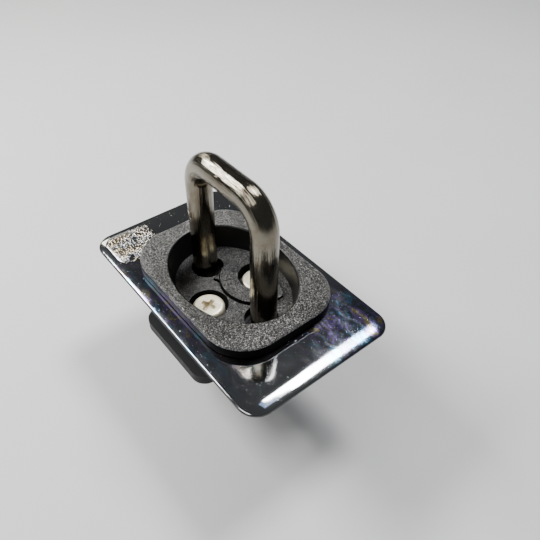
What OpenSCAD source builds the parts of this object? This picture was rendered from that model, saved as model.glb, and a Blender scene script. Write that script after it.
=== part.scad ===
// Retractable tie-down anchor ring with a clamp-in face plate.
//
// Frame: the origin is the centre of the seat plane, where the face plate and
// its gasket rest on the roof or bed rail. +Z points up out of the rail and
// +X runs along the long side of the face plate. The ring is drawn pulled up.

/* [Face plate] */
// Length of the face plate, along X
plate_l = 104; // [96:1:120]
// Width of the face plate, along Y
plate_w = 62; // [62:1:66]
// Corner radius of the face plate
plate_r = 7.3; // [6:0.1:12]
// Thickness of the stainless sheet
plate_t = 1.2; // [1:0.1:1.3]
// Width of the border that rolls down all round the plate
rim_w = 6; // [4:0.5:6.5]

/* [Bezel and recess] */
// Length of the bezel
bezel_l = 70; // [68:1:80]
// Width of the bezel
bezel_w = 50; // [50:1:52]
// Corner radius of the bezel
bezel_r = 15.7; // [12:0.1:20]
// Height of the bezel above the flat of the plate
bezel_h = 4.8; // [4.5:0.1:5.5]
// Half length of the oval mouth of the recess
mouth_a = 27.6; // [27:0.1:28]
// Half width of the oval mouth of the recess
mouth_b = 20.8; // [20.6:0.1:21]
// Half length of the oval floor of the recess
floor_a = 25.4; // [25:0.1:25.6]
// Half width of the oval floor of the recess
floor_b = 19.9; // [19.6:0.1:20.1]
// Depth of the recess floor below the top of the bezel
recess_depth = 10.9; // [10.8:0.1:12]

/* [Anchor ring] */
// Diameter of the ring's round bar, 3/8 inch
bar_d = 9.52; // [9:0.01:9.6]
// Distance between the centre lines of the two legs
leg_pitch = 36.8; // [36:0.1:37.4]
// Bend radius of the bar's centre line
bend_r = 10; // [9:0.5:12]
// Travel of the ring from pulled up to pushed down
ring_travel = 43.2; // [41:0.1:46]

/* [Clamp] */
// Length of the clamp plate, along X
clamp_l = 40; // [36:1:44]
// Width of the clamp plate, along Y
clamp_w = 58; // [56:1:64]
// Thickness of the clamp plate
clamp_t = 4; // [3:0.5:4]
// Depth of the clamp plate's top face below the seat plane
clamp_depth = 15.5; // [15.5:0.5:20]
// Distance from the centre to each clamp screw, along Y
screw_y = 11.3; // [11.2:0.1:11.5]
// Diameter of the clamp screws, 1/4 inch
screw_d = 6.35; // [6:0.05:6.4]
// Length of the clamp screws under the head
screw_len = 25.4; // [25.4:0.1:32]

/* [Hidden] */

$fn = 96;
// Small overlap that joins shapes cleanly, and the length that a cutter runs past a face
eps = 0.01;
past = 1;

// Face plate levels
edge_h = 0.7;
flat_top = 1.7;
flat_under = flat_top - plate_t;
rim_foot = 1;
rim_hollow = 4;

// Bezel and recess levels
bezel_top = flat_top + bezel_h;
edge_round = 1.3;
floor_top = bezel_top - recess_depth;
band_w = 3.4;
band_h = 1.6;
wall_foot = floor_top + band_h;
wall_t = 1.6;
mouth_chamfer = 0.5;
floor_t = 3.5;
floor_under = floor_top - floor_t;

// Core plate, the steel plate under the recess floor
core_l = 62;
core_w = 45.6;
core_r = 12;
core_t = 2.5;
core_under = floor_under - core_t;

// Housing, the moulded skirt that fills the mounting hole
housing_l = 70;
housing_w = 49.8;
housing_r = 12;
cup_gap = 0.25;
gasket_gap = 0.4;

// Oval openings round the recess tub, in the face plate and in the housing
plate_hole_a = floor_a + wall_t + 1.4;
plate_hole_b = floor_b + wall_t + 0.9;
cup_a = floor_a + wall_t + 1.15;
cup_b = floor_b + wall_t + 0.7;

// Leg wells in the floor, set inboard of the legs to clear the bends
leg_x = leg_pitch / 2;
bar_r = bar_d / 2;
well_r = 6.25;
well_x = leg_x - 1.3;

// Keeper disc, centred on the rear screw and tangent to both wells
disc_r = sqrt(pow(well_x, 2) + pow(screw_y, 2)) - well_r;
disc_step = 1.3;
disc_sink = 2.2;
disc_gap = 0.5;
disc_edge = 0.5;
touch_y = screw_y * well_r / (disc_r + well_r);

// Key slot of the keeper disc's pocket, by the left well
key_l = 3.4;
key_w = 1.2;
key_x = -8.2;
key_y = -1.6;
key_turn = 24;

// Clamp screws
head_r = 6.04;
head_h = 3.3;
head_well_r = 7.4;
screw_r = screw_d / 2;
hole_gap = 0.3;
run_gap = 0.05;
thread_pitch = 1.27;
thread_depth = 0.6;
head_dome = 1.4;
plain_l = 6;
screw_point = 1;
cross_l = 6.2;
cross_w = 1.5;
cross_depth = 2.4;
cross_turn = 20;
clip_t = 0.5;
clip_r = 5.6;
clip_drop = 0.2;
clip_pocket = 1.2;

// Clamp plate and its weld nuts
clamp_top = -clamp_depth;
clamp_r = 5.5;
clamp_nut_af = 11.11;
clamp_nut_h = 5.56;
tube_gap = 0.6;

// Guide tubes and what is in them
tube_r = 7.4;
tube_bore_r = 6.2;
tube_foot = -29.4;
bush_top = floor_under - 1.5;
bush_foot = tube_foot + 0.6;
rattle_section_r = 0.66;
press_gap = 0.02;

// Lower end of the ring
stop_pad_t = 1.5;
stop_bar_t = 5;
stop_bar_w = 14;
stop_bar_l = leg_pitch + stop_bar_w + 2;
stop_r = stop_bar_w / 2 - 0.5;
stop_bar_top = tube_foot - stop_pad_t;
stop_bar_under = stop_bar_top - stop_bar_t;
stud_r = 3.97;
stud_pitch = 1.41;
stud_showing = 1.4;
leg_washer_t = 1.6;
leg_washer_r = 7.8;
leg_nut_af = 12.7;
leg_nut_h = 7.8;
leg_nut_under = stop_bar_under - leg_washer_t - leg_nut_h;
stud_foot = leg_nut_under - stud_showing;

// Top of the bar's centre line, pulled up; pushed down, the bar stands just proud of the bezel
ring_proud = 0.16;
ring_top = bezel_top + ring_proud + ring_travel - bar_r;

// Four small screws that hold bezel, plate, housing and core together
small_x = 25;
small_y = 16.5;
small_r = 1.5;
small_head_r = 2.9;
small_head_h = 1.6;
small_tip = flat_top + 2.8;
small_point = 0.9;
small_slot = [3, 0.7, 1.6];

plastic = "#1c1c1e";
rubber = "#262626";
stainless = "#b9bcc0";
zinc = "#c9c8bf";
dark_steel = "#55585c";
acetal = "#242426";

// ---------------------------------------------------------------- shapes

// Corner points of an oval with half axes a and b
function oval(a, b, n = 96) = [for (i = [0:n - 1]) [a * cos(360 * i / n), b * sin(360 * i / n)]];

// Flat rounded rectangle
module rounded_rect(l, w, r) {
    square([l - 2 * r, w], center = true);
    square([l, w - 2 * r], center = true);
    for (sx = [-1, 1], sy = [-1, 1])
        translate([sx * (l / 2 - r), sy * (w / 2 - r)]) circle(r);
}

// Plain slab on a rounded rectangle, between two heights
module slab(l, w, r, z0, z1) {
    translate([0, 0, z0]) linear_extrude(z1 - z0) rounded_rect(l, w, r);
}

// Slab on a rounded rectangle whose edge follows a section. The section's x
// runs outward from the centre of each corner and its y is the height.
module edged_slab(l, w, r, section, z0, z1) {
    for (quarter = [0:3]) {
        turn = quarter * 90;
        reach = quarter % 2 == 0 ? [l / 2 - r, w / 2 - r] : [w / 2 - r, l / 2 - r];
        rotate(turn) {
            translate([reach[0], reach[1], 0]) rotate_extrude(angle = 90) polygon(section);
            translate([reach[0], 0, 0])
                rotate([90, 0, 0]) linear_extrude(2 * reach[1], center = true) polygon(section);
        }
    }
    translate([0, 0, (z0 + z1) / 2]) cube([l - 2 * r + eps, w - 2 * r + eps, z1 - z0], center = true);
}

// Straight-sided oval solid between two heights
module oval_prism(a, b, z0, z1) {
    translate([0, 0, z0]) linear_extrude(z1 - z0) polygon(oval(a, b));
}

// Oval solid that grows from half axes a0, b0 at z0 to a1, b1 at z1
module oval_taper(a0, b0, z0, a1, b1, z1) {
    growth = [a1 / a0, b1 / b0];
    translate([0, 0, z0]) linear_extrude(z1 - z0, scale = growth, slices = 1) polygon(oval(a0, b0));
}

// Upright cylinder at a point, between two heights
module post(x, y, r, z0, z1) {
    translate([x, y, z0]) cylinder(h = z1 - z0, r = r);
}

// Grooves that stand for a thread, as rings round a shank, from a lowest height up
module thread_grooves(r, depth, pitch, lowest, count) {
    half = pitch * 0.39;
    for (i = [0:count - 1])
        translate([0, 0, lowest + i * pitch]) rotate_extrude() polygon([
            [r + 0.1, -half], [r - depth, 0], [r + 0.1, half]
        ]);
}

// Upright tube at a point, between two heights
module tube(x, y, r_out, r_in, z0, z1) {
    difference() {
        post(x, y, r_out, z0, z1);
        post(x, y, r_in, z0 - past, z1 + past);
    }
}

// Hexagon nut with a chamfered rim, centred on a point
module hex_nut(x, y, af, bore_r, z0, z1) {
    corner_r = af / sqrt(3);
    chamfer = corner_r - af / 2;
    difference() {
        translate([x, y, z0]) intersection() {
            cylinder(h = z1 - z0, r = corner_r, $fn = 6);
            rotate_extrude() polygon([
                [0, 0], [af / 2, 0], [corner_r, chamfer],
                [corner_r, z1 - z0 - chamfer], [af / 2, z1 - z0], [0, z1 - z0]
            ]);
        }
        post(x, y, bore_r, z0 - past, z1 + past);
    }
}

// Half width of the recess wall at a height, from its floor size to its mouth size
function wall_at(z, at_floor, at_mouth) =
    at_floor + (at_mouth - at_floor) * (z - wall_foot) / (bezel_top - wall_foot);

// Centres of the four small screws
module at_small_screws() {
    for (sx = [-1, 1], sy = [-1, 1])
        translate([sx * small_x, sy * small_y, 0]) children();
}

// --------------------------------------------------------------- housing

module face_plate() {
    roll = [for (t = [0:0.25:1]) [plate_r - rim_w * (1 - t), flat_top - (flat_top - edge_h) * t * t]];
    section = concat([[0, flat_under], [0, flat_top]], roll, [
        [plate_r, 0], [plate_r - rim_foot, 0], [plate_r - rim_hollow, flat_under]
    ]);
    color(stainless) difference() {
        edged_slab(plate_l, plate_w, plate_r, section, flat_under, flat_top);
        oval_prism(plate_hole_a, plate_hole_b, flat_under - past, flat_top + past);
        at_small_screws() post(0, 0, small_r + hole_gap, flat_under - past, flat_top + past);
    }
}

module bezel() {
    flare = [for (t = [0:15:90]) [
        bezel_r - edge_round + edge_round * cos(t), bezel_top - edge_round + edge_round * sin(t)
    ]];
    section = concat([[0, flat_top], [bezel_r, flat_top]], flare, [[0, bezel_top]]);
    foot_a = floor_a + wall_t;
    foot_b = floor_b + wall_t;
    top_a = wall_at(flat_top + eps, floor_a, mouth_a) + wall_t;
    top_b = wall_at(flat_top + eps, floor_b, mouth_b) + wall_t;
    past_a = wall_at(bezel_top + past, floor_a, mouth_a);
    past_b = wall_at(bezel_top + past, floor_b, mouth_b);
    under_a = wall_at(wall_foot - past, floor_a, mouth_a);
    under_b = wall_at(wall_foot - past, floor_b, mouth_b);
    color(plastic) difference() {
        union() {
            edged_slab(bezel_l, bezel_w, bezel_r, section, flat_top, bezel_top);
            oval_taper(foot_a, foot_b, wall_foot, top_a, top_b, flat_top + eps);
        }
        oval_taper(under_a, under_b, wall_foot - past, past_a, past_b, bezel_top + past);
        oval_taper(mouth_a - mouth_chamfer, mouth_b - mouth_chamfer, bezel_top - 2 * mouth_chamfer,
            mouth_a + mouth_chamfer, mouth_b + mouth_chamfer, bezel_top + eps);
        at_small_screws() post(0, 0, small_r + run_gap, flat_top - past, small_tip + hole_gap);
    }
}

// Cutter as round as the keeper disc, from the foot of its pocket up
module disc_cutter(grow) {
    post(0, screw_y, disc_r + grow, floor_top - disc_sink, wall_foot + past);
}

// Pocket for the foot of the keeper disc, open along the front, with a key slot at its left end
module disc_pocket() {
    intersection() {
        union() {
            disc_cutter(0);
            intersection() {
                disc_cutter(disc_gap);
                translate([-floor_a, -floor_b, floor_under]) cube([2 * floor_a, floor_b + touch_y, recess_depth]);
            }
        }
        oval_prism(floor_a - band_w, floor_b - band_w, floor_under, wall_foot + past);
    }
    translate([key_x, key_y, floor_top - disc_sink / 2])
        rotate(key_turn) cube([key_l, key_w, disc_sink], center = true);
}

module recess_floor() {
    band_top = floor_top + band_h;
    color(plastic) difference() {
        oval_prism(floor_a + wall_t, floor_b + wall_t, floor_under, band_top);
        oval_taper(floor_a - band_w, floor_b - band_w, floor_top, floor_a, floor_b, band_top + eps);
        disc_pocket();
        for (side = [-1, 1]) {
            post(side * well_x, 0, well_r, floor_under - past, band_top + past);
            post(0, side * screw_y, head_well_r, floor_under - past, band_top + past);
        }
    }
}

module keeper_disc() {
    disc_top = floor_top + disc_step;
    disc_under = floor_top - disc_sink;
    color(plastic) difference() {
        intersection() {
            translate([0, screw_y, disc_under]) rotate_extrude() polygon([
                [0, 0], [disc_r, 0], [disc_r, disc_top - disc_under - disc_edge],
                [disc_r - disc_edge, disc_top - disc_under], [0, disc_top - disc_under]
            ]);
            oval_prism(floor_a - band_w, floor_b - band_w, disc_under, disc_top);
        }
        post(0, screw_y, head_well_r, disc_under - past, disc_top + past);
    }
}

module housing() {
    color(plastic) difference() {
        slab(housing_l, housing_w, housing_r, core_under, flat_under);
        oval_prism(cup_a, cup_b, floor_under - eps, flat_under + past);
        slab(core_l + 2 * cup_gap, core_w + 2 * cup_gap, core_r + cup_gap, core_under - past, floor_under);
        at_small_screws() post(0, 0, small_r + hole_gap, floor_under - past, flat_under + past);
    }
}

module core_plate() {
    color(dark_steel) difference() {
        slab(core_l, core_w, core_r, core_under, floor_under);
        for (side = [-1, 1]) {
            post(side * leg_x, 0, tube_r + run_gap, core_under - past, floor_under + past);
            post(0, side * screw_y, screw_r + hole_gap, core_under - past, floor_under + past);
        }
        at_small_screws() {
            post(0, 0, small_r + hole_gap, core_under - past, floor_under + past);
            translate([0, 0, core_under - eps])
                cylinder(h = small_head_h, r1 = small_head_r + hole_gap, r2 = small_r + hole_gap);
        }
    }
}

module guide_tube(side) {
    color(dark_steel) tube(side * leg_x, 0, tube_r, tube_bore_r, tube_foot, floor_under);
}

module guide_bush(side) {
    bush_r = tube_bore_r - press_gap;
    bore_r = bar_r + run_gap;
    color(acetal) tube(side * leg_x, 0, bush_r, bore_r, bush_foot, bush_top);
}

module rattle_ring(side) {
    ring_r = tube_bore_r - rattle_section_r - press_gap;
    color(rubber) translate([side * leg_x, 0, bush_top + rattle_section_r])
        rotate_extrude() translate([ring_r, 0]) circle(rattle_section_r, $fn = 32);
}

module plate_gasket() {
    inset = rim_hollow + gasket_gap;
    color(rubber) difference() {
        slab(plate_l - 2 * inset, plate_w - 2 * inset, plate_r - inset, 0, flat_under);
        slab(housing_l + 2 * gasket_gap, housing_w + 2 * gasket_gap, housing_r + gasket_gap,
            -past, flat_under + past);
    }
}

module housing_screws() {
    color(zinc) at_small_screws() difference() {
        translate([0, 0, core_under]) rotate_extrude() polygon([
            [0, 0], [small_head_r, 0], [small_r, small_head_h],
            [small_r, small_tip - core_under - small_point],
            [small_r - small_point, small_tip - core_under],
            [0, small_tip - core_under]
        ]);
        for (turn = [0, 90])
            translate([0, 0, core_under]) rotate(turn) cube(small_slot, center = true);
    }
}

// ------------------------------------------------------------------ ring

// Stud at the foot of a leg, with its thread cut as rings
module leg_stud() {
    turns = floor((stop_bar_top - stud_foot) / stud_pitch);
    difference() {
        post(0, 0, stud_r, stud_foot, stop_bar_top + eps);
        thread_grooves(stud_r, thread_depth, stud_pitch, stud_foot + stud_pitch / 2, turns);
    }
}

module anchor_ring() {
    reach = leg_x - bend_r;
    bend_z = ring_top - bend_r;
    color(stainless) {
        translate([0, 0, ring_top]) rotate([0, 90, 0]) cylinder(h = 2 * reach, r = bar_r, center = true);
        for (side = [0, 1]) mirror([side, 0, 0]) {
            translate([reach, 0, bend_z]) rotate([90, 0, 0]) rotate_extrude(angle = 90)
                translate([bend_r, 0]) circle(bar_r);
            post(leg_x, 0, bar_r, stop_bar_top, bend_z);
            translate([leg_x, 0, 0]) leg_stud();
        }
    }
}

module stop_bar() {
    color(dark_steel) difference() {
        slab(stop_bar_l, stop_bar_w, stop_r, stop_bar_under, stop_bar_top);
        for (side = [-1, 1])
            post(side * leg_x, 0, stud_r + run_gap, stop_bar_under - past, stop_bar_top + past);
    }
}

module stop_pads() {
    color(rubber) for (side = [-1, 1])
        tube(side * leg_x, 0, stop_r, bar_r + run_gap, stop_bar_top, tube_foot);
}

module leg_washers() {
    color(zinc) for (side = [-1, 1])
        tube(side * leg_x, 0, leg_washer_r, stud_r + run_gap, stop_bar_under - leg_washer_t, stop_bar_under);
}

module leg_nuts() {
    color(zinc) for (side = [-1, 1])
        hex_nut(side * leg_x, 0, leg_nut_af, stud_r + run_gap, leg_nut_under, stop_bar_under - leg_washer_t);
}

// ---------------------------------------------------------------- clamp

// Cross recess for a number 3 cross-point driver
module cross_recess() {
    for (turn = [0, 90])
        rotate(turn) translate([0, 0, -cross_depth / 2 + eps])
            cube([cross_l, cross_w, cross_depth], center = true);
    translate([0, 0, -cross_depth + eps]) cylinder(h = cross_depth, r1 = cross_w * 0.65, r2 = cross_w * 1.25);
}

// Pan-head screw hanging from the core plate at y, with its thread cut as rings
module clamp_screw(y) {
    rings = floor((screw_len - plain_l) / thread_pitch);
    crown = [for (t = [0:15:90]) [
        head_r - head_dome + head_dome * cos(t), head_h - head_dome + head_dome * sin(t)
    ]];
    color(zinc) translate([0, y, floor_under]) difference() {
        rotate_extrude() polygon(concat(
            [[0, 0], [0, -screw_len], [screw_r - screw_point, -screw_len], [screw_r, screw_point - screw_len],
                [screw_r, 0], [head_r, 0]],
            crown, [[0, head_h]]
        ));
        translate([0, 0, head_h]) rotate(cross_turn) cross_recess();
        thread_grooves(screw_r, thread_depth, thread_pitch, screw_point + 0.4 - screw_len, rings);
    }
}

// Push-on clip that keeps a clamp screw captive under the core plate
module screw_clip(y) {
    color(dark_steel) tube(0, y, clip_r, screw_r, core_under - clip_drop - clip_t, core_under - clip_drop);
}

module clamp_plate() {
    clamp_under = clamp_top - clamp_t;
    color(dark_steel) difference() {
        slab(clamp_l, clamp_w, clamp_r, clamp_under, clamp_top);
        for (side = [-1, 1]) {
            post(side * leg_x, 0, tube_r + tube_gap, clamp_under - past, clamp_top + past);
            post(0, side * screw_y, screw_r + hole_gap, clamp_under - past, clamp_top + past);
            post(0, side * screw_y, clip_r + hole_gap, clamp_top - clip_pocket, clamp_top + past);
        }
    }
}

module clamp_nuts() {
    nut_top = clamp_top - clamp_t;
    color(zinc) for (side = [-1, 1])
        hex_nut(0, side * screw_y, clamp_nut_af, screw_r + run_gap, nut_top - clamp_nut_h, nut_top);
}

// --------------------------------------------------------------- the part

face_plate();
bezel();
recess_floor();
keeper_disc();
housing();
core_plate();
guide_tube(-1);  // left_guide_tube
guide_tube(1);  // right_guide_tube
guide_bush(-1);  // left_guide_bush
guide_bush(1);  // right_guide_bush
rattle_ring(-1);  // left_rattle_ring
rattle_ring(1);  // right_rattle_ring
plate_gasket();
housing_screws();
anchor_ring();
stop_bar();
stop_pads();
leg_washers();
leg_nuts();
clamp_screw(-screw_y);  // front_screw
screw_clip(-screw_y);  // front_screw_clip
clamp_screw(screw_y);  // rear_screw
screw_clip(screw_y);  // rear_screw_clip
clamp_plate();
clamp_nuts();
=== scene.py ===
"""The looks of the retractable tie-down anchor ring: detailed meshes, materials, light and camera."""

from math import atan2, cos, hypot, pi, radians, sin, sqrt

import bmesh
import bpy
from mathutils import Matrix, Vector


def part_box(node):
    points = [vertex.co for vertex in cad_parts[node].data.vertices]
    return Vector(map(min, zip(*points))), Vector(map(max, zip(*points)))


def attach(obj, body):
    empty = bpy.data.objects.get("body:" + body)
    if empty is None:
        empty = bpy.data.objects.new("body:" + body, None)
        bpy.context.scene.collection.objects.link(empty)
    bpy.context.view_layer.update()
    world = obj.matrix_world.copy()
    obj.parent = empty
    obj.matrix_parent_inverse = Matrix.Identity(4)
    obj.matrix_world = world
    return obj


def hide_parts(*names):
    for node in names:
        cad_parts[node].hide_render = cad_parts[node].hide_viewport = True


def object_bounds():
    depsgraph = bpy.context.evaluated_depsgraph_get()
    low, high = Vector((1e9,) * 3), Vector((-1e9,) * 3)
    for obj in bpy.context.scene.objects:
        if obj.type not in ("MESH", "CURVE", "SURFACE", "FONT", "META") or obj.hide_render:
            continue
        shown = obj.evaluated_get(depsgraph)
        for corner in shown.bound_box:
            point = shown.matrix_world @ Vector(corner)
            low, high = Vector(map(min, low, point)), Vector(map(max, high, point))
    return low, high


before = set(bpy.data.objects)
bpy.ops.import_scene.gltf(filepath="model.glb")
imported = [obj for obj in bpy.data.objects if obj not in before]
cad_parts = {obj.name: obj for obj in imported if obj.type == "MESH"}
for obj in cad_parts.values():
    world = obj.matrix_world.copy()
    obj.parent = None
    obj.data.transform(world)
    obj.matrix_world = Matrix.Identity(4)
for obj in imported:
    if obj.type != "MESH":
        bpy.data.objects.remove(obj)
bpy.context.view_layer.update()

MM = 0.001

# ------------------------------------------------------------------ sizes, from the frame


class Span:
    """The box of a CAD node, in millimetres."""

    def __init__(self, node):
        low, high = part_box(node)
        self.low = Vector(low) / MM
        self.high = Vector(high) / MM
        self.size = self.high - self.low
        self.middle = (self.high + self.low) / 2


plate = Span("face_plate")
bezel = Span("bezel")
floor = Span("recess_floor")
disc = Span("keeper_disc")
ring = Span("anchor_ring")
bar = Span("stop_bar")
core = Span("core_plate")
front_screw = Span("front_screw")
rear_screw = Span("rear_screw")

# Face plate: its sheet, and the border that rolls down to a rounded lip and turns under to a foot
PLATE_CORNER = 7.3
PLATE_SHEET = 1.2
RIM_WIDTH = 6.0
RIM_HOLLOW = 4.0
RIM_EDGE = 0.7
RIM_FOOT = 1.0
RIM_LIP = 0.6
FOOT_ROUND = 0.1

# Bezel and recess: A and B are the half length and half width of an oval
BEZEL_CORNER = 15.7
BEZEL_ROUND = 1.3
MOUTH_A = 27.6
MOUTH_B = 20.8
MOUTH_ROUND = 0.9
WALL = 1.6
BAND_WIDTH = 3.4
BAND_HEIGHT = 1.6
FLOOR_A = floor.high.x - WALL
FLOOR_B = floor.high.y - WALL
WALL_FOOT = floor.high.z
FLOOR_TOP = WALL_FOOT - BAND_HEIGHT
PLATE_HOLE_A = FLOOR_A + WALL + 1.4
PLATE_HOLE_B = FLOOR_B + WALL + 0.9

# Ring and its threaded feet
BAR_R = ring.size.y / 2
LEG_X = ring.high.x - BAR_R
RING_TOP = ring.high.z - BAR_R
BEND_R = 10.0
STUD_R = 3.97
STUD_PITCH = 1.41
STUD_THREAD_DEPTH = 0.7

# Wells in the floor, and the disc between them
WELL_X = LEG_X - 1.3
WELL_R = 6.25
HEAD_WELL_R = 7.4
SCREW_Y = rear_screw.middle.y
DISC_R = hypot(WELL_X, SCREW_Y) - WELL_R
DISC_SINK = 2.2
DISC_GAP = 0.5
TOUCH_Y = SCREW_Y * WELL_R / (DISC_R + WELL_R)

# Key slot at the left end of the disc's front edge
KEY_LENGTH = 3.4
KEY_WIDTH = 1.2
KEY_X = -8.2
KEY_Y = -1.6
KEY_TURN = 24

# Clamp screws
HEAD_R = rear_screw.size.x / 2
HEAD_DOME = 1.5
SCREW_R = 3.175
SCREW_NECK = 6
SCREW_PITCH = 1.27
THREAD_DEPTH = 0.62
CROSS_HALF_WIDTH = 0.78
CROSS_TURN = 20

# Points round a rounded rectangle: on each corner, and along each side
CORNER_STEPS = 16
SIDE_STEPS = 20

# Length that a cutter runs past a face, and the gap below which points are joined
PAST = 1
SAME_POINT = 0.003

# ------------------------------------------------------------------ mesh tools


def rounded_rect(length, width, radius, z):
    """A ring of points round a rounded rectangle, the same number for every size."""
    half_x = length / 2 - radius
    half_y = width / 2 - radius
    centres = [(half_x, half_y), (-half_x, half_y), (-half_x, -half_y), (half_x, -half_y)]
    points = []
    for corner, (cx, cy) in enumerate(centres):
        for step in range(CORNER_STEPS + 1):
            angle = (corner + step / CORNER_STEPS) * pi / 2
            points.append(Vector((cx + radius * cos(angle), cy + radius * sin(angle), z)))
        start = points[-1]
        nx, ny = centres[(corner + 1) % 4]
        angle = (corner + 1) * pi / 2
        end = Vector((nx + radius * cos(angle), ny + radius * sin(angle), z))
        points += [start.lerp(end, step / SIDE_STEPS) for step in range(1, SIDE_STEPS)]
    return points


def oval_like(ring_points, a, b, z):
    """A ring on an oval with half axes a and b, in the same directions as another ring's points."""
    points = []
    for point in ring_points:
        angle = atan2(point.y, point.x)
        reach = a * b / hypot(b * cos(angle), a * sin(angle))
        points.append(Vector((reach * cos(angle), reach * sin(angle), z)))
    return points


def circle(radius, z, steps=96, x=0.0, y=0.0):
    """A ring of points round an upright circle."""
    turns = [2 * pi * step / steps for step in range(steps)]
    return [Vector((x + radius * cos(t), y + radius * sin(t), z)) for t in turns]


def loft(name, rings, closed=False, rows=None):
    """A mesh through rings of points given in millimetres.

    A closed one joins its last ring to its first, and an open one gets end caps. rows gives
    each row of faces its material index.
    """
    count = len(rings[0])
    vertices = [point * MM for ring_points in rings for point in ring_points]
    faces = []
    indices = []
    last = len(rings) if closed else len(rings) - 1
    for row in range(last):
        here = row * count
        there = (row + 1) % len(rings) * count
        for i in range(count):
            j = (i + 1) % count
            faces.append((here + i, here + j, there + j, there + i))
            indices.append(rows[row] if rows else 0)
    if not closed:
        faces.append(tuple(reversed(range(count))))
        faces.append(tuple(range((len(rings) - 1) * count, len(rings) * count)))
        indices += [0, 0]
    mesh = bpy.data.meshes.new(name)
    mesh.from_pydata(vertices, [], faces)
    mesh.polygons.foreach_set("material_index", indices)
    mesh.validate()
    mesh.update()
    piece = bpy.data.objects.new(name, mesh)
    bpy.context.scene.collection.objects.link(piece)
    make_outward(piece)
    return piece


def make_outward(piece):
    """Turns the faces of a closed mesh outward."""
    work = bmesh.new()
    work.from_mesh(piece.data)
    bmesh.ops.recalc_face_normals(work, faces=work.faces)
    work.to_mesh(piece.data)
    work.free()


def smooth(piece, angle):
    """Smooth shading with edges sharper than the angle left crisp, and flats kept flat."""
    piece.data.shade_smooth()
    piece.data.set_sharp_from_angle(angle=radians(angle))
    weighted = piece.modifiers.new("flat_faces", "WEIGHTED_NORMAL")
    weighted.keep_sharp = True


def bevel(piece, width, segments, angle):
    """Rounds the edges of a piece that are sharper than the angle."""
    edge = piece.modifiers.new("rounded_edges", "BEVEL")
    edge.width = width * MM
    edge.segments = segments
    edge.limit_method = "ANGLE"
    edge.angle_limit = radians(angle)
    edge.harden_normals = True


def settle(piece):
    """Applies a piece's modifiers to its mesh."""
    bpy.context.view_layer.update()
    graph = bpy.context.evaluated_depsgraph_get()
    mesh = bpy.data.meshes.new_from_object(piece.evaluated_get(graph))
    piece.modifiers.clear()
    piece.data = mesh
    merge_close(piece)


def merge_close(piece):
    """Joins points that a cut leaves on top of each other, and drops faces with no area."""
    work = bmesh.new()
    work.from_mesh(piece.data)
    bmesh.ops.remove_doubles(work, verts=work.verts, dist=SAME_POINT * MM)
    bmesh.ops.dissolve_degenerate(work, edges=work.edges, dist=SAME_POINT * MM)
    work.to_mesh(piece.data)
    work.free()


def carve(piece, cutters):
    """Cuts each cutter out of a piece, and removes the cutters."""
    for cutter in cutters:
        cut = piece.modifiers.new("cut", "BOOLEAN")
        cut.operation = "DIFFERENCE"
        cut.solver = "EXACT"
        cut.object = cutter
    settle(piece)
    for cutter in cutters:
        bpy.data.objects.remove(cutter)


def post(x, y, radius, low, high):
    """An upright cylinder as a cutter."""
    return loft("cutter", [circle(radius, z, x=x, y=y) for z in (low, high)])


def block(size, place, turn):
    """A box as a cutter, turned about Z in degrees."""
    corners = [(1, 1), (-1, 1), (-1, -1), (1, -1)]
    spin = Matrix.Rotation(radians(turn), 3, "Z")
    half = Vector(size) / 2
    rings = []
    for side in (-1, 1):
        flat = [Vector((sx * half.x, sy * half.y, side * half.z)) for sx, sy in corners]
        rings.append([spin @ point + Vector(place) for point in flat])
    return loft("cutter", rings)


def dress(piece, body, node, materials):
    """Puts a piece on its body in place of a CAD node, with its materials."""
    for material in materials:
        piece.data.materials.append(material)
    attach(piece, body)
    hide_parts(node)


# ------------------------------------------------------------------ material tools


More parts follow.
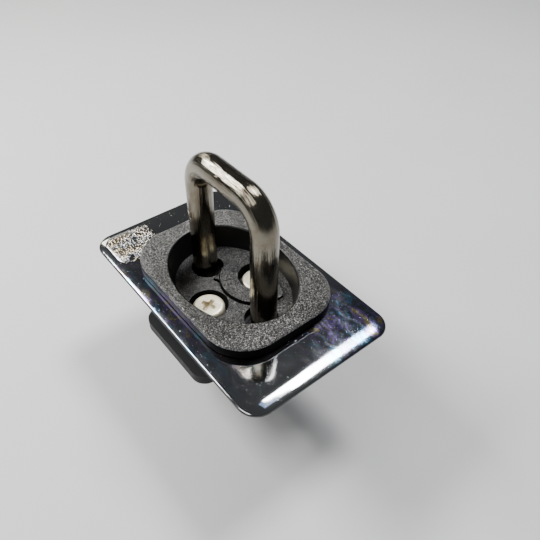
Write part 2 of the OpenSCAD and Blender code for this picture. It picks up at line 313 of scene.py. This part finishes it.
class Shader:
    """A node material with short calls for the nodes that this scene needs."""

    def __init__(self, name):
        self.material = bpy.data.materials.new(name)
        self.material.use_nodes = True
        self.tree = self.material.node_tree
        self.surface = self.tree.nodes["Principled BSDF"]
        self.coordinates = self.add("ShaderNodeTexCoord").outputs["Object"]
        self.millimetres = self.scaled(self.coordinates, (1 / MM, 1 / MM, 1 / MM))

    def add(self, kind, **settings):
        """A new node with its settings."""
        made = self.tree.nodes.new(kind)
        for key, value in settings.items():
            setattr(made, key, value)
        return made

    def feed(self, socket, value):
        """Links an output to a socket, or sets the socket to a constant."""
        if isinstance(value, bpy.types.NodeSocket):
            self.tree.links.new(value, socket)
        else:
            socket.default_value = value

    def set(self, **values):
        """Sets the surface shader's sockets, with spaces written as underscores."""
        for key, value in values.items():
            self.feed(self.surface.inputs[key.replace("_", " ")], value)

    def scaled(self, vector, scale):
        """A vector with each axis scaled."""
        made = self.add("ShaderNodeMapping")
        self.feed(made.inputs["Vector"], vector)
        made.inputs["Scale"].default_value = scale
        return made.outputs["Vector"]

    def math(self, operation, a, b):
        """A math node's result for two values."""
        made = self.add("ShaderNodeMath", operation=operation)
        self.feed(made.inputs[0], a)
        self.feed(made.inputs[1], b)
        return made.outputs[0]

    def noise(self, scale, detail=3.0, roughness=0.5, vector=None):
        """Noise with its scale per millimetre."""
        made = self.add("ShaderNodeTexNoise")
        self.feed(made.inputs["Vector"], vector or self.millimetres)
        made.inputs["Scale"].default_value = scale
        made.inputs["Detail"].default_value = detail
        made.inputs["Roughness"].default_value = roughness
        return made.outputs["Fac"]

    def cells(self, scale, vector=None, feature="DISTANCE_TO_EDGE"):
        """Distance to the edge of random cells, with their scale per millimetre."""
        made = self.add("ShaderNodeTexVoronoi", feature=feature)
        self.feed(made.inputs["Vector"], vector or self.millimetres)
        made.inputs["Scale"].default_value = scale
        return made.outputs["Distance"]

    def ramp(self, value, low, high, out_low=0.0, out_high=1.0):
        """A value carried smoothly from one range to another, and held at its ends."""
        made = self.add("ShaderNodeMapRange", interpolation_type="SMOOTHSTEP")
        self.feed(made.inputs["Value"], value)
        made.inputs["From Min"].default_value = low
        made.inputs["From Max"].default_value = high
        made.inputs["To Min"].default_value = out_low
        made.inputs["To Max"].default_value = out_high
        return made.outputs["Result"]

    def blend(self, factor, first, second):
        """A mix of two colours."""
        made = self.add("ShaderNodeMix", data_type="RGBA")
        self.feed(made.inputs["Factor"], factor)
        self.feed(made.inputs[6], first)
        self.feed(made.inputs[7], second)
        return made.outputs[2]

    def bump(self, height, depth, strength=1.0, under=None):
        """A bumped normal, with its depth in millimetres."""
        made = self.add("ShaderNodeBump")
        self.feed(made.inputs["Height"], height)
        made.inputs["Distance"].default_value = depth * MM
        made.inputs["Strength"].default_value = strength
        if under is not None:
            self.feed(made.inputs["Normal"], under)
        return made.outputs["Normal"]

    def warped(self, scale, amount):
        """Millimetre coordinates pushed about by noise, so that patterns lose their regularity."""
        made = self.add("ShaderNodeTexNoise")
        self.feed(made.inputs["Vector"], self.millimetres)
        made.inputs["Scale"].default_value = scale
        shift = self.add("ShaderNodeVectorMath", operation="MULTIPLY_ADD")
        self.feed(shift.inputs[0], made.outputs["Color"])
        shift.inputs[1].default_value = (amount, amount, amount)
        self.feed(shift.inputs[2], self.millimetres)
        return shift.outputs[0]

    def near(self, centre, inner, outer):
        """1 within inner millimetres of a point, falling to 0 at outer."""
        made = self.add("ShaderNodeVectorMath", operation="DISTANCE")
        self.feed(made.inputs[0], self.millimetres)
        made.inputs[1].default_value = centre
        return self.ramp(made.outputs["Value"], inner, outer, 1.0, 0.0)


# ------------------------------------------------------------------ materials


def grey(shade):
    """A neutral grey of the given shade."""
    return (shade, shade, shade, 1)


def warm(shade):
    """A grey of the given shade with a slight yellow cast."""
    return (shade, shade * 0.98, shade * 0.91, 1)


def grained_black(name, shade):
    """Black moulding with a leather grain: pebbles painted grey for their sheen, with random lighter
    patches, between narrow creases painted dark for their shade.
    """
    s = Shader(name)
    pebbles = s.ramp(s.cells(1.5, s.warped(0.9, 1.6)), 0.0, 0.26)
    fine = s.noise(4.2, 3.0)
    height = s.math("ADD", pebbles, s.math("MULTIPLY", fine, 0.35))
    cloud = s.noise(0.12, 4.0)
    # The pebbles' grey is painted sheen on black moulding, lightened in random patches by the cloud
    # noise.
    worn = s.blend(s.ramp(cloud, 0.35, 0.7), warm(shade), warm(shade * 1.35))
    # The creases between the pebbles are painted near black for their shade.
    s.set(Base_Color=s.blend(s.ramp(height, 0.45, 1.15), grey(0.008), worn))
    s.set(Normal=s.bump(height, 0.55))
    s.set(Roughness=s.ramp(s.math("ADD", cloud, pebbles), 0.3, 1.6, 0.50, 0.34))
    s.set(Specular_IOR_Level=0.9)
    return s.material


def smooth_black(name, shade, dullness, sheen):
    """The moulding's smooth faces: their darkness, roughness and strength of reflection."""
    s = Shader(name)
    flow = s.noise(1.0, 3.0, vector=s.scaled(s.millimetres, (0.05, 0.05, 1.6)))
    scuff = s.ramp(s.noise(0.5, 5.0, 0.7), 0.52, 0.75)
    s.set(Base_Color=s.blend(scuff, grey(shade), grey(shade * 2)))
    dull = s.ramp(flow, 0.3, 0.7, dullness, dullness + 0.1)
    s.set(Roughness=s.math("ADD", dull, s.math("MULTIPLY", scuff, 0.12)))
    s.set(Normal=s.bump(s.noise(0.35, 2.0), 0.05, 0.5), Specular_IOR_Level=sheen)
    return s.material


def film_tint(s):
    """Interference colours of the clear film, in soft patches."""
    tint = s.add("ShaderNodeValToRGB")
    streaks = s.scaled(s.warped(0.09, 9.0), (0.7, 1.4, 1.0))
    s.feed(tint.inputs["Fac"], s.noise(0.12, 8.0, 0.72, streaks))
    stops = [
        (0.30, (0.12, 0.13, 0.14)),
        (0.37, (0.09, 0.34, 0.36)),
        (0.42, (0.14, 0.30, 0.56)),
        (0.46, (0.12, 0.12, 0.13)),
        (0.51, (0.11, 0.14, 0.17)),
        (0.54, (0.32, 0.20, 0.62)),
        (0.57, (0.12, 0.12, 0.12)),
        (0.61, (0.62, 0.50, 0.24)),
        (0.66, (0.13, 0.22, 0.18)),
        (0.75, (0.12, 0.12, 0.12)),
    ]
    band = tint.color_ramp
    while len(band.elements) < len(stops):
        band.elements.new(0.5)
    for element, (place, colour) in zip(band.elements, stops):
        element.position = place
        element.color = (*colour, 1)
    return tint.outputs["Color"]


def wrinkled_corner(s, level):
    """Where the film is wrinkled, on the flat at the left end's front corner, and how deeply."""
    patchy = s.ramp(s.noise(0.22, 4.0, 0.6), 0.36, 0.50)
    flat = s.ramp(level, plate.high.z - 0.30, plate.high.z - 0.05)
    centre = (plate.low.x + 9, plate.low.y + 10, plate.high.z)
    corner = s.math("MULTIPLY", s.math("MULTIPLY", s.near(centre, 5, 14), patchy), flat)
    facets = s.cells(0.7, s.warped(0.5, 2.5), "F1")
    wrinkles = s.cells(1.9, s.warped(0.8, 1.5), "F1")
    depth = s.math("ADD", facets, s.math("MULTIPLY", wrinkles, 0.5))
    return corner, s.math("MULTIPLY", depth, corner)


def polished_plate():
    """Mirror-polished stainless sheet under a clear film that is wrinkled at one corner."""
    s = Shader("polished_plate")
    top = plate.high.z
    split = s.add("ShaderNodeSeparateXYZ")
    s.feed(split.inputs["Vector"], s.millimetres)
    level = split.outputs["Z"]
    corner, crackle = wrinkled_corner(s, level)

    rainbow = s.near((plate.high.x - 8, plate.high.y - 10, top), 6, 34)
    front_blue = s.near((plate.low.x + 52, plate.low.y - 4, top), 10, 56)
    film = s.math("MAXIMUM", rainbow, s.math("MULTIPLY", front_blue, 0.75))
    streaks = s.noise(0.22, 4.0, 0.6, s.scaled(s.warped(0.2, 5.0), (0.6, 1.5, 1.0)))
    haze = s.math("MULTIPLY", film, s.ramp(streaks, 0.42, 0.68))

    steel = s.blend(s.noise(0.05, 3.0), (0.36, 0.37, 0.38, 1), grey(0.46))
    tinted = s.blend(s.math("MULTIPLY", film, 0.95), steel, film_tint(s))
    folds = s.ramp(s.noise(1.1, 6.0, 0.75, s.warped(0.8, 1.5)), 0.42, 0.58)
    creased = s.blend(folds, (0.13, 0.12, 0.10, 1), (0.66, 0.58, 0.42, 1))
    tinted = s.blend(corner, tinted, creased)
    # Below the top of the lip, the rounded edge and the underside are painted dark grey: a painted dark
    # reflection on polished steel.
    above_painted_dark_edge = s.ramp(level, 0.2, RIM_EDGE + 0.15)
    s.set(Base_Color=s.blend(above_painted_dark_edge, grey(0.07), tinted), Metallic=1.0)

    smear = s.noise(0.09, 5.0, 0.62, s.scaled(s.warped(0.05, 8.0), (1.0, 0.35, 1.0)))
    specks = s.ramp(s.noise(1.8, 2.0), 0.70, 0.78)
    dull = s.ramp(smear, 0.45, 0.72, 0.07, 0.13)
    for mark, amount in ((crackle, 0.08), (rainbow, 0.04), (corner, 0.02), (haze, 0.09), (specks, 0.25)):
        dull = s.math("ADD", dull, s.math("MULTIPLY", mark, amount))
    s.set(Roughness=dull)

    ripple = s.math("MULTIPLY", s.noise(0.5, 3.0), s.math("MULTIPLY", film, 0.10))
    polish = s.bump(s.math("ADD", s.noise(0.05, 2.0), ripple), 0.6, 0.35)
    s.set(Normal=s.bump(crackle, 0.7, 1.0, s.bump(specks, 0.05, 0.6, polish)))
    return s.material


def polished_bar():
    """Polished stainless bar with faint draw lines along its length."""
    s = Shader("polished_bar")
    along = s.add("ShaderNodeUVMap", uv_map="bar").outputs["UV"]
    lines = s.noise(1.0, 4.0, 0.65, s.scaled(along, (26.0, 0.02, 1.0)))
    marks = s.noise(1.0, 4.0, 0.6, s.scaled(along, (9.0, 0.04, 1.0)))
    stain = s.ramp(s.noise(0.11, 4.0, 0.6), 0.42, 0.72)
    # Painted reflection: the base colour is far darker than polished steel, for dark surroundings, which
    # dims the bar's reflection of the pale floor; the stain noise adds brown stains.
    s.set(Base_Color=s.blend(stain, (0.21, 0.193, 0.155, 1), (0.14, 0.115, 0.08, 1)))
    s.set(Metallic=1.0)
    s.set(Roughness=s.math("ADD", s.ramp(marks, 0.3, 0.75, 0.06, 0.17), s.math("MULTIPLY", lines, 0.04)))
    s.set(Normal=s.bump(s.math("ADD", lines, s.math("MULTIPLY", marks, 0.8)), 0.30))
    return s.material


def bright_zinc():
    """Zinc-plated steel, slightly cream, cloudy and stained in spots."""
    s = Shader("bright_zinc")
    cloud = s.noise(0.55, 5.0, 0.6)
    spots = s.ramp(s.noise(1.3, 4.0, 0.7), 0.60, 0.72)
    colour = s.blend(s.ramp(cloud, 0.35, 0.68), (0.66, 0.645, 0.60, 1), (0.80, 0.785, 0.74, 1))
    s.set(Base_Color=s.blend(s.math("MULTIPLY", spots, 0.55), colour, (0.30, 0.21, 0.13, 1)))
    s.set(Metallic=s.ramp(spots, 0.0, 1.0, 0.86, 0.4))
    s.set(Roughness=s.math("ADD", s.ramp(cloud, 0.3, 0.7, 0.30, 0.42), s.math("MULTIPLY", spots, 0.2)))
    s.set(Normal=s.bump(s.noise(2.2, 4.0), 0.05, 0.5))
    return s.material


def screw_head(middle):
    """Zinc plating for a screw head whose cross recess is marked brown by use."""
    s = Shader(f"screw_head_{'front' if middle.y < 0 else 'rear'}")
    inside = s.near(tuple(middle), 1.4, 3.9)
    split = s.add("ShaderNodeSeparateXYZ")
    s.feed(split.inputs["Vector"], s.millimetres)
    below_face = s.ramp(split.outputs["Z"], middle.z - 0.5, middle.z - 0.12, 1.0, 0.0)
    sunk = s.math("MULTIPLY", below_face, inside)
    patches = s.math("MULTIPLY", s.ramp(s.noise(1.0, 5.0, 0.7), 0.44, 0.60), inside)
    rust = s.math("MAXIMUM", s.math("MULTIPLY", patches, 0.8), sunk)
    cloud = s.noise(0.6, 5.0, 0.6)
    colour = s.blend(s.ramp(cloud, 0.3, 0.7), (0.88, 0.81, 0.60, 1), (1.0, 0.94, 0.73, 1))
    s.set(Base_Color=s.blend(s.math("MULTIPLY", rust, 0.88), colour, (0.16, 0.10, 0.05, 1)))
    s.set(Metallic=s.ramp(rust, 0.0, 1.0, 0.6, 0.2))
    s.set(Roughness=s.ramp(cloud, 0.3, 0.7, 0.36, 0.48))
    s.set(Normal=s.bump(s.noise(1.8, 4.0), 0.06, 0.5))
    return s.material


def coated_steel():
    """Steel with a satin black coating, rubbed in places."""
    s = Shader("coated_steel")
    rub = s.ramp(s.noise(0.3, 6.0, 0.7), 0.62, 0.74)
    peel = s.noise(1.6, 2.0)
    black = (0.016, 0.016, 0.017, 1)
    worn = (0.07, 0.068, 0.066, 1)
    s.set(Base_Color=s.blend(s.math("MULTIPLY", rub, 0.5), black, worn))
    s.set(Metallic=s.math("MULTIPLY", rub, 0.4))
    s.set(Roughness=s.ramp(rub, 0.0, 1.0, 0.50, 0.36), Specular_IOR_Level=0.2)
    s.set(Normal=s.bump(peel, 0.05, 0.5))
    return s.material


def black_rubber():
    """Matt rubber with a dusty bloom."""
    s = Shader("black_rubber")
    bloom = s.noise(0.25, 5.0, 0.65)
    s.set(Base_Color=s.blend(s.ramp(bloom, 0.4, 0.75), grey(0.014), (0.035, 0.034, 0.033, 1)))
    s.set(Roughness=s.ramp(bloom, 0.3, 0.8, 0.72, 0.88))
    s.set(Normal=s.bump(s.noise(3.0, 3.0), 0.06, 0.5))
    return s.material


def black_acetal():
    """Black acetal with turning marks."""
    s = Shader("black_acetal")
    rings = s.noise(1.0, 2.0, vector=s.scaled(s.millimetres, (0.02, 0.02, 5.0)))
    s.set(Base_Color=s.blend(s.noise(0.2, 3.0), grey(0.012), (0.022, 0.022, 0.021, 1)))
    s.set(Roughness=s.ramp(rings, 0.3, 0.7, 0.36, 0.48), Normal=s.bump(rings, 0.04, 0.4))
    return s.material


def backdrop():
    """Pale matt floor."""
    s = Shader("backdrop")
    mottle = s.noise(0.01, 3.0)
    s.set(Base_Color=s.blend(mottle, grey(0.60), (0.66, 0.66, 0.655, 1)), Roughness=0.8)
    return s.material


# The greys given here are painted sheen: the bezel's top gets the lighter copy, and the recess floor and
# disc a darker copy painted for the shade in the recess.
GRAINED = grained_black("grained_black", 0.29)
GRAINED_FLOOR_SHADED = grained_black("grained_floor_shaded", 0.15)
SMOOTH = smooth_black("smooth_black", 0.005, 0.50, 0.03)
RECESS = smooth_black("recess_wall", 0.004, 0.30, 0.4)
PLATE = polished_plate()
BAR = polished_bar()
ZINC = bright_zinc()
COATED = coated_steel()
RUBBER = black_rubber()
ACETAL = black_acetal()

# ------------------------------------------------------------------ housing


def make_face_plate():
    """Sheet whose border rolls down in a soft curve to a rounded edge."""
    top = plate.high.z
    drop = top - RIM_EDGE

    def at(inset, z):
        return rounded_rect(plate.size.x - 2 * inset, plate.size.y - 2 * inset, PLATE_CORNER - inset, z)

    rings = [at(RIM_WIDTH + 0.5, top)]
    roll_steps = 14
    for step in range(roll_steps + 1):
        inset = RIM_WIDTH + (RIM_LIP - RIM_WIDTH) * step / roll_steps
        rings.append(at(inset, top - drop * (1 - inset / RIM_WIDTH) ** 2))
    lip_top = rings[-1][0].z
    lip_steps = 8
    slope = atan2(2 * drop * (1 - RIM_LIP / RIM_WIDTH), RIM_WIDTH)
    lip_r = RIM_LIP / (1 - sin(slope))
    for step in range(1, lip_steps + 1):
        turn = slope + (pi / 2 - slope) * step / lip_steps
        rings.append(at(lip_r * (1 - sin(turn)), lip_top - lip_r * (cos(slope) - cos(turn))))
    rings.append(at(FOOT_ROUND, 0))
    rings.append(at(RIM_FOOT, 0))
    rings.append(at(RIM_HOLLOW, top - PLATE_SHEET))
    for z in (top - PLATE_SHEET, top):
        rings.append(oval_like(rings[0], PLATE_HOLE_A, PLATE_HOLE_B, z))
    piece = loft("polished_face_plate", rings, closed=True)
    smooth(piece, 50)
    dress(piece, "anchor_housing", "face_plate", [PLATE])


def make_bezel():
    """Grained flange with smooth sides, a rolled mouth and a tapered recess wall."""
    under = plate.high.z
    top = bezel.high.z
    grain, gloss, wall = 0, 1, 2
    rings = []
    rows = []

    def flange(inset, z):
        return rounded_rect(bezel.size.x - 2 * inset, bezel.size.y - 2 * inset, BEZEL_CORNER - inset, z)

    def add(points, kind):
        rings.append(points)
        rows.append(kind)

    for inset, rise in ((0.3, 0.0), (0.05, 0.25), (0.0, 0.6)):
        add(flange(inset, under + rise), gloss)
    flange_steps = 8
    for step in range(flange_steps + 1):
        turn = pi / 2 * step / flange_steps
        kind = gloss if step < 1 else grain
        add(flange(BEZEL_ROUND * (1 - cos(turn)), top - BEZEL_ROUND * (1 - sin(turn))), kind)
    reference = rings[0]
    mouth_steps = 6
    for step in range(mouth_steps + 1):
        turn = pi / 2 * step / mouth_steps
        reach = MOUTH_ROUND * (1 - sin(turn))
        z = top - MOUTH_ROUND * (1 - cos(turn))
        kind = grain if step < 1 else wall
        add(oval_like(reference, MOUTH_A + reach, MOUTH_B + reach, z), kind)
    wall_steps = 6
    for step in range(1, wall_steps + 1):
        share = step / wall_steps
        z = top - MOUTH_ROUND + (WALL_FOOT - top + MOUTH_ROUND) * share
        a = MOUTH_A + (FLOOR_A - MOUTH_A) * share
        b = MOUTH_B + (FLOOR_B - MOUTH_B) * share
        add(oval_like(reference, a, b, z), wall)
    add(oval_like(reference, FLOOR_A + WALL, FLOOR_B + WALL, WALL_FOOT), gloss)
    add(oval_like(reference, FLOOR_A + WALL + 0.9, FLOOR_B + WALL + 0.6, under), gloss)
    piece = loft("grained_bezel", rings, closed=True, rows=rows)
    smooth(piece, 50)
    dress(piece, "anchor_housing", "bezel", [GRAINED, SMOOTH, RECESS])


def key_slot():
    """Cutter for the small slot at the left end of the disc's front edge."""
    middle = FLOOR_TOP - DISC_SINK / 2 + 0.1
    return block((KEY_LENGTH, KEY_WIDTH, DISC_SINK), (KEY_X, KEY_Y, middle), KEY_TURN)


def gloss_walls(piece):
    """Gives the upright faces of a moulding its second, smooth material."""
    for face in piece.data.polygons:
        face.material_index = 1 if abs(face.normal.z) < 0.5 else 0


def make_recess_floor():
    """Dished floor with its leg wells, screw wells, disc pocket and key slot."""
    outer = circle(1.0, 0, 160)
    band_steps = 5

    def at(inset, z):
        return oval_like(outer, FLOOR_A + WALL - inset, FLOOR_B + WALL - inset, z)

    low = floor.low.z
    rings = [at(0, low), at(0, WALL_FOOT), at(WALL - 0.1, WALL_FOOT)]
    for step in range(1, band_steps + 1):
        share = step / band_steps
        dip = (1 - cos(share * pi / 2)) * 0.35 + share * 0.65
        rings.append(at(WALL + BAND_WIDTH * share, WALL_FOOT + (FLOOR_TOP - WALL_FOOT) * dip))
    piece = loft("grained_recess_floor", rings)
    cutters = [disc_pocket()]
    for side in (-1, 1):
        cutters.append(post(side * WELL_X, 0, WELL_R, low - PAST, WALL_FOOT + PAST))
        cutters.append(post(0, side * SCREW_Y, HEAD_WELL_R, low - PAST, WALL_FOOT + PAST))
    carve(piece, cutters + [key_slot()])
    gloss_walls(piece)
    piece.data.shade_smooth()
    bevel(piece, 0.28, 3, 30)
    dress(piece, "anchor_housing", "recess_floor", [GRAINED_FLOOR_SHADED, SMOOTH])


def disc_reach(angle, radius):
    """Distance from the disc's centre to its edge, cut short at the floor's sloped band."""
    a = FLOOR_A - BAND_WIDTH
    b = FLOOR_B - BAND_WIDTH
    square = (cos(angle) / a) ** 2 + (sin(angle) / b) ** 2
    linear = SCREW_Y * sin(angle) / b**2
    to_band = (sqrt(linear**2 - square * ((SCREW_Y / b) ** 2 - 1)) - linear) / square
    return min(radius, to_band)


def disc_pocket():
    """Cutter for the pocket that the disc sits in, wider than the disc along the front."""
    outline = []
    steps = 160
    for step in range(steps):
        turn = 2 * pi * step / steps
        gap = DISC_GAP if SCREW_Y + DISC_R * sin(turn) < TOUCH_Y else -0.05
        reach = disc_reach(turn, DISC_R + gap)
        outline.append(Vector((reach * cos(turn), SCREW_Y + reach * sin(turn), 0)))
    heights = (FLOOR_TOP - DISC_SINK, WALL_FOOT + PAST)
    return loft("cutter", [[Vector((v.x, v.y, z)) for v in outline] for z in heights])


def disc_outline():
    """Outline of the disc, open at the back where the band meets its screw well."""
    edge = []
    well = []
    steps = 200
    for step in range(steps + 1):
        angle = pi / 2 + 2 * pi * step / steps
        reach = disc_reach(angle, DISC_R)
        if reach > HEAD_WELL_R + 0.05:
            edge.append(Vector((reach * cos(angle), SCREW_Y + reach * sin(angle), 0)))
            well.append(Vector((HEAD_WELL_R * cos(angle), SCREW_Y + HEAD_WELL_R * sin(angle), 0)))
    return edge + well[::-1]


def make_keeper_disc():
    """Raised disc about the rear screw, trimmed to the flat of the floor."""
    outline = disc_outline()
    rings = [[point + Vector((0, 0, z)) for point in outline] for z in (disc.low.z, disc.high.z)]
    piece = loft("grained_keeper_disc", rings)
    gloss_walls(piece)
    piece.data.shade_smooth()
    bevel(piece, 0.35, 4, 50)
    dress(piece, "anchor_housing", "keeper_disc", [GRAINED_FLOOR_SHADED, SMOOTH])


# ------------------------------------------------------------------ ring


def bar_path():
    """Centre line of the U bar from one leg's foot to the other's, as points in the XZ plane."""
    foot = bar.high.z
    bend_z = RING_TOP - BEND_R
    reach = LEG_X - BEND_R
    leg_steps = 12
    bend_steps = 24
    left = [Vector((-LEG_X, 0, foot + (bend_z - foot) * step / leg_steps)) for step in range(leg_steps)]
    for step in range(bend_steps + 1):
        turn = pi / 2 * step / bend_steps
        left.append(Vector((-reach - BEND_R * cos(turn), 0, bend_z + BEND_R * sin(turn))))
    return left + [Vector((-point.x, 0, point.z)) for point in reversed(left)]


def make_ring():
    """The U bar as a swept circle, with a map along and round it for its draw lines."""
    path = bar_path()
    steps = 64
    rings = []
    for i, point in enumerate(path):
        before = path[max(i - 1, 0)]
        after = path[min(i + 1, len(path) - 1)]
        tangent = (after - before).normalized()
        across = Vector((0, 1, 0))
        out = across.cross(tangent).normalized()
        turns = [2 * pi * step / steps for step in range(steps)]
        rings.append([point + (out * cos(t) + across * sin(t)) * BAR_R for t in turns])
    piece = loft("polished_anchor_ring", rings)
    map_along(piece, path, steps)
    smooth(piece, 50)
    dress(piece, "ring", "anchor_ring", [BAR])


def map_along(piece, path, steps):
    """UV map of a swept bar: u runs once round the bar and v is the length along it in millimetres."""
    lengths = [0.0]
    for here, there in zip(path, path[1:]):
        lengths.append(lengths[-1] + (there - here).length)
    layer = piece.data.uv_layers.new(name="bar")
    for face in piece.data.polygons:
        corners = list(face.loop_indices)
        around = [piece.data.loops[loop].vertex_index % steps for loop in corners]
        wraps = max(around) - min(around) > steps / 2
        for loop, place in zip(corners, around):
            vertex = piece.data.loops[loop].vertex_index
            turn = place + steps if wraps and place < steps / 2 else place
            layer.data[loop].uv = (turn / steps, lengths[vertex // steps])


def thread_rings(x, y, radius, pitch, depth, low, high):
    """Rings of a right-hand screw thread that fades out at both ends, over a chamfered point."""
    steps = 48
    per_turn = 10
    point_length = 0.5
    rows = int((high - low) / pitch * per_turn)
    rings = [
        circle(radius - depth, low, steps, x, y),
        circle(radius - depth * 0.9, low + point_length / 2, steps, x, y),
    ]
    for row in range(rows + 1):
        z = low + point_length + (high - low - point_length) * row / rows
        fade = min(1.0, (z - low) / pitch, (high - z) / pitch)
        points = []
        for step in range(steps):
            turn = step / steps
            phase = (z / pitch - turn) % 1.0
            flank = min(1.0, max(0.0, abs(phase - 0.5) * 2.4 - 0.15))
            reach = radius - depth * flank * fade
            if row < per_turn:
                reach = min(reach, radius - depth * (1 - row / per_turn) * 0.9)
            angle = 2 * pi * turn
            points.append(Vector((x + reach * cos(angle), y + reach * sin(angle), z)))
        rings.append(points)
    return rings


def make_leg_studs():
    """Threaded ends of the two legs."""
    for side, word in ((-1, "left"), (1, "right")):
        x = side * LEG_X
        rings = thread_rings(x, 0, STUD_R, STUD_PITCH, STUD_THREAD_DEPTH, ring.low.z, bar.high.z)
        piece = loft(f"{word}_leg_stud", rings)
        smooth(piece, 60)
        dress(piece, "ring", "anchor_ring", [ZINC])


# ------------------------------------------------------------------ screws


def cross_cutter(y, top):
    """Cutter for a cross-point recess: a cross whose arms get shorter towards its foot."""
    side = CROSS_HALF_WIDTH
    inner = side + 0.25
    rings = []
    for rise, reach in ((-2.5, 1.5), (-1.2, 2.5), (0.3, 3.2)):
        centre = Vector((0, y, top + rise))
        corners = []
        for quarter in range(4):
            spin = Matrix.Rotation(radians(CROSS_TURN + 90 * quarter), 3, "Z")
            arm = [(reach, -side), (reach, side), (inner, inner)]
            corners += [spin @ Vector((px, py, 0)) + centre for px, py in arm]
        rings.append(corners)
    return loft("cutter", rings)


def make_clamp_screw(word, span, body):
    """Pan-head screw: a domed head with a cross recess, a plain neck and a cut thread."""
    y = span.middle.y
    seat = core.high.z
    top = span.high.z
    dome_steps = 8
    profile = [(SCREW_R, seat - SCREW_NECK), (SCREW_R, seat), (HEAD_R - 0.25, seat), (HEAD_R, seat + 0.3)]
    for step in range(dome_steps + 1):
        turn = pi / 2 * step / dome_steps
        profile.append((HEAD_R - HEAD_DOME * (1 - cos(turn)), top - HEAD_DOME * (1 - sin(turn))))
    rings = [circle(radius, z, y=y) for radius, z in profile]
    head = loft(f"{word}_screw_head", rings)
    carve(head, [cross_cutter(y, top)])
    head.data.shade_smooth()
    bevel(head, 0.14, 3, 35)
    material = screw_head(Vector((0, y, top)))
    dress(head, body, f"{word}_screw", [material])
    thread_top = seat - SCREW_NECK + 0.5
    rings = thread_rings(0, y, SCREW_R, SCREW_PITCH, THREAD_DEPTH, span.low.z, thread_top)
    thread = loft(f"{word}_screw_thread", rings)
    smooth(thread, 60)
    dress(thread, body, f"{word}_screw", [ZINC])


# ------------------------------------------------------------------ CAD nodes that stay

# Material of each one, and how far its edges are rounded
CARRIED = {
    "housing": (SMOOTH, 0.4),
    "core_plate": (COATED, 0.2),
    "left_guide_tube": (COATED, 0.2),
    "right_guide_tube": (COATED, 0.2),
    "left_guide_bush": (ACETAL, 0.15),
    "right_guide_bush": (ACETAL, 0.15),
    "left_rattle_ring": (RUBBER, 0),
    "right_rattle_ring": (RUBBER, 0),
    "plate_gasket": (RUBBER, 0.1),
    "housing_screws": (ZINC, 0),
    "stop_bar": (COATED, 0.5),
    "stop_pads": (RUBBER, 0.2),
    "leg_washers": (ZINC, 0.15),
    "leg_nuts": (ZINC, 0.12),
    "front_screw_clip": (COATED, 0),
    "rear_screw_clip": (COATED, 0),
    "clamp_plate": (COATED, 0.45),
    "clamp_nuts": (ZINC, 0.12),
}


def dress_carried():
    """Gives each CAD node that stays its material and softly rounded edges."""
    for name, (material, edge) in CARRIED.items():
        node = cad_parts[name]
        node.data.materials.clear()
        node.data.materials.append(material)
        if edge:
            bevel(node, edge, 3, 40)


# ------------------------------------------------------------------ stage, light and camera


def make_stage():
    """Pale floor under the part, far wider than the view."""
    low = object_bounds()[0].z / MM
    reach = 3000
    corners = [(reach, reach), (-reach, reach), (-reach, -reach), (reach, -reach)]
    sheet = bpy.data.meshes.new("floor")
    sheet.from_pydata([Vector((x, y, low)) * MM for x, y in corners], [], [(0, 1, 2, 3)])
    ground = bpy.data.objects.new("floor", sheet)
    bpy.context.scene.collection.objects.link(ground)
    ground.data.materials.append(backdrop())


def softbox(name, direction, distance, size, power, colour=(1, 1, 1)):
    """A soft rectangular lamp that looks at the origin. Distance and size are in metres."""
    lamp = bpy.data.lights.new(name, "AREA")
    lamp.shape = "RECTANGLE"
    lamp.size, lamp.size_y = size
    lamp.energy = power
    lamp.color = colour
    holder = bpy.data.objects.new(name, lamp)
    bpy.context.scene.collection.objects.link(holder)
    holder.location = Vector(direction).normalized() * distance
    holder.rotation_euler = (-holder.location).to_track_quat("-Z", "Y").to_euler()


def make_light():
    """Lamps whose reflections lie on the plate's borders and the ring, and a dim room.

    The key lamp, with a blue one behind it, shines from over the far side. One lamp is low at the
    left end, and two narrow ones light the crossbar and its right bend from in front.
    """
    over_far_side = (-0.10, 0.46, 0.88)
    softbox("key_lamp", over_far_side, 0.8, (0.22, 0.20), 6.5)
    softbox("key_haze", over_far_side, 0.82, (0.20, 0.46), 0.45, (0.42, 0.60, 1.0))
    softbox("corner_lamp", (-0.883, 0.107, 0.452), 0.8, (0.20, 0.20), 1.2, (1.0, 0.93, 0.80))
    softbox("bar_lamp", (-0.60, -0.42, 0.69), 0.6, (0.30, 0.08), 5)
    softbox("front_lamp", (-0.03, -0.61, 0.79), 0.6, (0.40, 0.08), 1.4)
    room = bpy.data.worlds.new("room")
    bpy.context.scene.world = room
    room.use_nodes = True
    background = room.node_tree.nodes["Background"]
    background.inputs["Color"].default_value = (0.92, 0.96, 1.0, 1)
    background.inputs["Strength"].default_value = 0.10


def make_camera():
    """Camera above the plate's near corner, between its front and its right end."""
    azimuth = radians(50.42)
    elevation = radians(43.5)
    roll = radians(1.1)
    distance = 0.21
    aim = Vector((4.6, 13.9, plate.high.z)) * MM
    lens = bpy.data.cameras.new("camera")
    lens.lens = 37.2
    lens.sensor_width = 36
    lens.clip_start = 0.01
    holder = bpy.data.objects.new("camera", lens)
    bpy.context.scene.collection.objects.link(holder)
    back = Vector((sin(azimuth) * cos(elevation), -cos(azimuth) * cos(elevation), sin(elevation)))
    holder.location = aim + back * distance
    holder.rotation_mode = "QUATERNION"
    level = (-back).to_track_quat("-Z", "Y")
    holder.rotation_quaternion = level @ Matrix.Rotation(roll, 3, "Z").to_quaternion()
    bpy.context.scene.camera = holder


make_camera()
make_face_plate()
make_bezel()
make_recess_floor()
make_keeper_disc()
make_ring()
make_leg_studs()
make_clamp_screw("front", front_screw, "front_clamp_screw")
make_clamp_screw("rear", rear_screw, "rear_clamp_screw")
dress_carried()
make_stage()
make_light()
